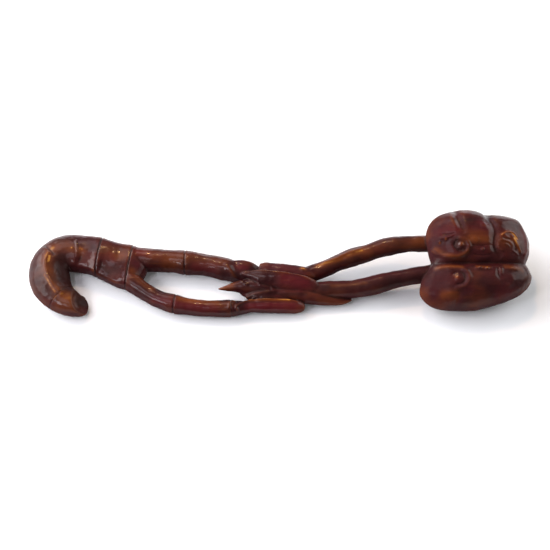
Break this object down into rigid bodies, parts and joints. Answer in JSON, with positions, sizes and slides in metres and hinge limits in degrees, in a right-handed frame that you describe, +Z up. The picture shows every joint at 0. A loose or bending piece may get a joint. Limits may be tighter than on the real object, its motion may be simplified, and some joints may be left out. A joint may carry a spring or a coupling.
{
  "type": "ruyi scepter",
  "caption": "Carved hardwood ruyi scepter: jointed hook handle forking into two branches, leaf cluster, slim stems and a head of twin lobed caps with curls.",
  "frame": {"origin": "middle of the bounding box, on the table plane that the carving lies on", "axes": "+X from the hook to the head, +Y towards the larger cap and away from the hook's tip, +Z up out of the carved face"},
  "size_m": [0.3598, 0.0726, 0.0426],
  "materials": {
    "varnished_wood": "dark red-brown hardwood under gloss varnish"
  },
  "bodies": {
    "root": {"scepter": "varnished_wood"}
  },
  "joints": []
}
